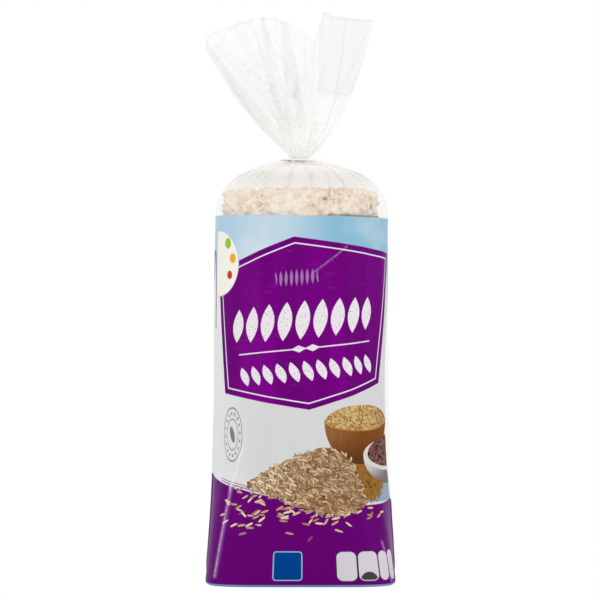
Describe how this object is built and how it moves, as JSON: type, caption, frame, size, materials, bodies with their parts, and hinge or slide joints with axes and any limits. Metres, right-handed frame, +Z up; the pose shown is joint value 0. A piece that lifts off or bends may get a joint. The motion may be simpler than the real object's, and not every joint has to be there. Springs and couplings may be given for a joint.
{
  "type": "bag of puffed rice cakes",
  "caption": "Upright film bag holding a column of round puffed rice cakes, gathered at the neck by a flat plastic clip, with a fanned two-lobed tail.",
  "frame": {"origin": "on the ground at the middle of the flat base", "axes": "+Z up the bag to its mouth, +X to the right of the bag's front, -Y out of the bag's front"},
  "size_m": [0.1151, 0.0982, 0.3476],
  "materials": {
    "clear_film": "thin clear glossy film, crinkled",
    "printed_film": "glossy printed film with purple, sky blue and pale grey fields",
    "puffed_grain": "matte puffed grain, cream with toasted specks",
    "ivory_plastic": "satin moulded plastic"
  },
  "bodies": {
    "root": {"bag": "clear_film", "neck_clip": "ivory_plastic"}
  },
  "joints": []
}
